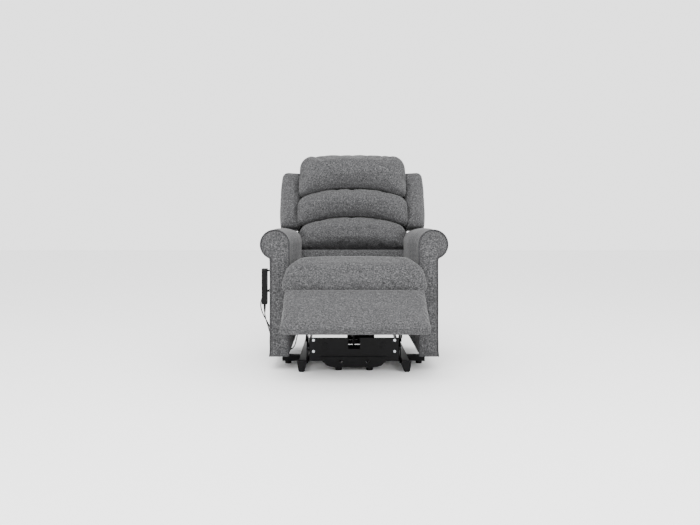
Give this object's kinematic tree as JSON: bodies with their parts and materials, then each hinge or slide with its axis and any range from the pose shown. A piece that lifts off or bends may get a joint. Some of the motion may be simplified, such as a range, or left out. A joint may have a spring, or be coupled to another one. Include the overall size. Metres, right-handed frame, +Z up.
{
  "type": "lift recliner chair",
  "caption": "Powered lift and recline armchair with scroll arms, a three-roll winged back, a rising footrest, a four-bar lift base and a corded handset.",
  "frame": {"origin": "on the floor, under the middle of the chair's bounding box at rest (handset cord left out)", "axes": "+Z up, the sitter faces -Y, +X is the sitter's left-hand side (the handset hangs on the -X arm)"},
  "size_m": [0.8734, 1.0324, 1.0179],
  "materials": {
    "powder_coated_steel": "satin black powder coat",
    "zinc_plated_steel": "bright zinc plate",
    "moulded_black_nylon": "fine moulded grain",
    "glide_rubber": "matt",
    "beech_rail": "planed, unfinished",
    "birch_plywood": "sanded, unfinished",
    "woven_webbing": "tight plain weave",
    "grey_tweed": "woven tweed with light and dark flecks",
    "handset_abs": "fine moulded grain",
    "button_silicone": "smooth matt",
    "cord_pvc": "smooth satin"
  },
  "bodies": {
    "base": {"base_rail_left": "powder_coated_steel", "base_rail_right": "powder_coated_steel", "base_front_tube": "powder_coated_steel", "base_rear_tube": "powder_coated_steel", "base_bow": "powder_coated_steel", "base_cover": "powder_coated_steel", "cover_bolts": "zinc_plated_steel", "floor_feet": "glide_rubber", "rail_boots": "moulded_black_nylon", "base_pins": "zinc_plated_steel"},
    "lift_arms": {"lift_links": "powder_coated_steel", "lift_tube": "powder_coated_steel"},
    "lift_guides": {"guide_links": "powder_coated_steel"},
    "lift_drive": {"lift_motor": "moulded_black_nylon"},
    "lift_ram": {"lift_rod": "zinc_plated_steel"},
    "chair": {"frame_plates": "powder_coated_steel", "front_cross_tube": "powder_coated_steel", "rear_cross_tube": "powder_coated_steel", "mechanism_plates": "powder_coated_steel", "frame_pins": "zinc_plated_steel", "seat_front_rail": "beech_rail", "seat_rear_rail": "beech_rail", "seat_side_rails": "beech_rail", "seat_webbing": "woven_webbing", "seat_bolts": "zinc_plated_steel", "seat_cushion": "grey_tweed", "arm_left": "grey_tweed", "arm_right": "grey_tweed", "facing_left": "grey_tweed", "facing_right": "grey_tweed", "arm_boards": "beech_rail", "rear_valance": "grey_tweed", "control_box": "moulded_black_nylon", "handset_holder": "moulded_black_nylon", "handset": "handset_abs", "handset_cord": "cord_pvc", "strain_relief": "cord_pvc", "cord_clips": "moulded_black_nylon", "footrest_motor": "moulded_black_nylon"},
    "lift_up_button": {"button_lift_up": "button_silicone"},
    "lift_down_button": {"button_lift_down": "button_silicone"},
    "recline_button": {"button_recline": "button_silicone"},
    "upright_button": {"button_upright": "button_silicone"},
    "footrest": {"footrest_pad": "grey_tweed", "footrest_board": "birch_plywood", "footrest_brackets": "powder_coated_steel"},
    "cranks": {"footrest_cranks": "powder_coated_steel", "crank_tube": "powder_coated_steel"},
    "push_links": {"push_bars": "powder_coated_steel"},
    "footrest_ram": {"footrest_rod": "zinc_plated_steel"},
    "backrest": {"back_board": "birch_plywood", "back_shell": "grey_tweed", "wing_left": "grey_tweed", "wing_right": "grey_tweed", "head_roll": "grey_tweed", "middle_roll": "grey_tweed", "lumbar_roll": "grey_tweed", "back_brackets": "powder_coated_steel", "back_tube": "powder_coated_steel"},
    "back_drive": {"back_motor": "moulded_black_nylon"},
    "back_ram": {"back_rod": "zinc_plated_steel"}
  },
  "joints": [
    {"name": "lift", "type": "hinge", "parent": "base", "child": "lift_arms", "pos_m": [0, -0.091, 0.082], "axis": [1, 0, 0], "range_deg": [0, 60]},
    {"name": "seat_tilt", "type": "hinge", "parent": "lift_arms", "child": "chair", "pos_m": [0, 0.205, 0.106], "axis": [1, 0, 0], "range_deg": [-36.2, 0.2]},
    {"name": "guide_swing", "type": "hinge", "parent": "base", "child": "lift_guides", "pos_m": [0, -0.041, 0.115], "axis": [1, 0, 0], "range_deg": [-0.2, 53.6]},
    {"name": "lift_drive_swing", "type": "hinge", "parent": "base", "child": "lift_drive", "pos_m": [0, 0.355, 0.06], "axis": [1, 0, 0], "range_deg": [-0.2, 8]},
    {"name": "lift_ram_travel", "type": "slide", "parent": "lift_drive", "child": "lift_ram", "axis": [0, -0.9661, 0.2581], "range_m": [-0.0005, 0.082]},
    {"name": "footrest", "type": "hinge", "parent": "chair", "child": "footrest", "pos_m": [0, -0.323, 0.362], "axis": [-1, 0, 0], "range_deg": [-55, 35]},
    {"name": "crank_swing", "type": "hinge", "parent": "chair", "child": "cranks", "pos_m": [0, -0.145, 0.318], "axis": [-1, 0, 0], "range_deg": [-55.2, 35.2]},
    {"name": "push_link_swing", "type": "hinge", "parent": "cranks", "child": "push_links", "pos_m": [0, -0.1657, 0.2407], "axis": [-1, 0, 0], "range_deg": [-35.2, 55.2]},
    {"name": "footrest_ram_travel", "type": "slide", "parent": "chair", "child": "footrest_ram", "axis": [0, -1, 0], "range_m": [-0.048, 0.0305]},
    {"name": "recline", "type": "hinge", "parent": "chair", "child": "backrest", "pos_m": [0, 0.295, 0.4], "axis": [-1, 0, 0], "range_deg": [-8, 38]},
    {"name": "back_drive_swing", "type": "hinge", "parent": "chair", "child": "back_drive", "pos_m": [0, -0.095, 0.262], "axis": [1, 0, 0], "range_deg": [-0.5, 2.1]},
    {"name": "back_ram_travel", "type": "slide", "parent": "back_drive", "child": "back_ram", "axis": [0, 0.9895, 0.1449], "range_m": [-0.0502, 0.0108]},
    {"name": "lift_up_press", "type": "slide", "parent": "chair", "child": "lift_up_button", "axis": [1, 0, 0], "range_m": [0, 0.0012], "stiffness_N_per_m": 600, "springref_m": -0.0008},
    {"name": "lift_down_press", "type": "slide", "parent": "chair", "child": "lift_down_button", "axis": [1, 0, 0], "range_m": [0, 0.0012], "stiffness_N_per_m": 600, "springref_m": -0.0008},
    {"name": "recline_press", "type": "slide", "parent": "chair", "child": "recline_button", "axis": [1, 0, 0], "range_m": [0, 0.0012], "stiffness_N_per_m": 600, "springref_m": -0.0008},
    {"name": "upright_press", "type": "slide", "parent": "chair", "child": "upright_button", "axis": [1, 0, 0], "range_m": [0, 0.0012], "stiffness_N_per_m": 600, "springref_m": -0.0008}
  ],
  "couplings": [
    {"joint": "seat_tilt", "follows": "lift", "ratio": -0.6},
    {"joint": "guide_swing", "follows": "lift", "ratio": 0.8895},
    {"joint": "lift_drive_swing", "follows": "lift", "ratio": 0.101},
    {"joint": "lift_ram_travel", "follows": "lift", "m_per_rad": 0.0775},
    {"joint": "crank_swing", "follows": "footrest", "ratio": 1},
    {"joint": "push_link_swing", "follows": "footrest", "ratio": -1},
    {"joint": "footrest_ram_travel", "follows": "footrest", "m_per_rad": 0.0495},
    {"joint": "back_drive_swing", "follows": "recline", "ratio": 0.0511},
    {"joint": "back_ram_travel", "follows": "recline", "m_per_rad": -0.0751}
  ]
}
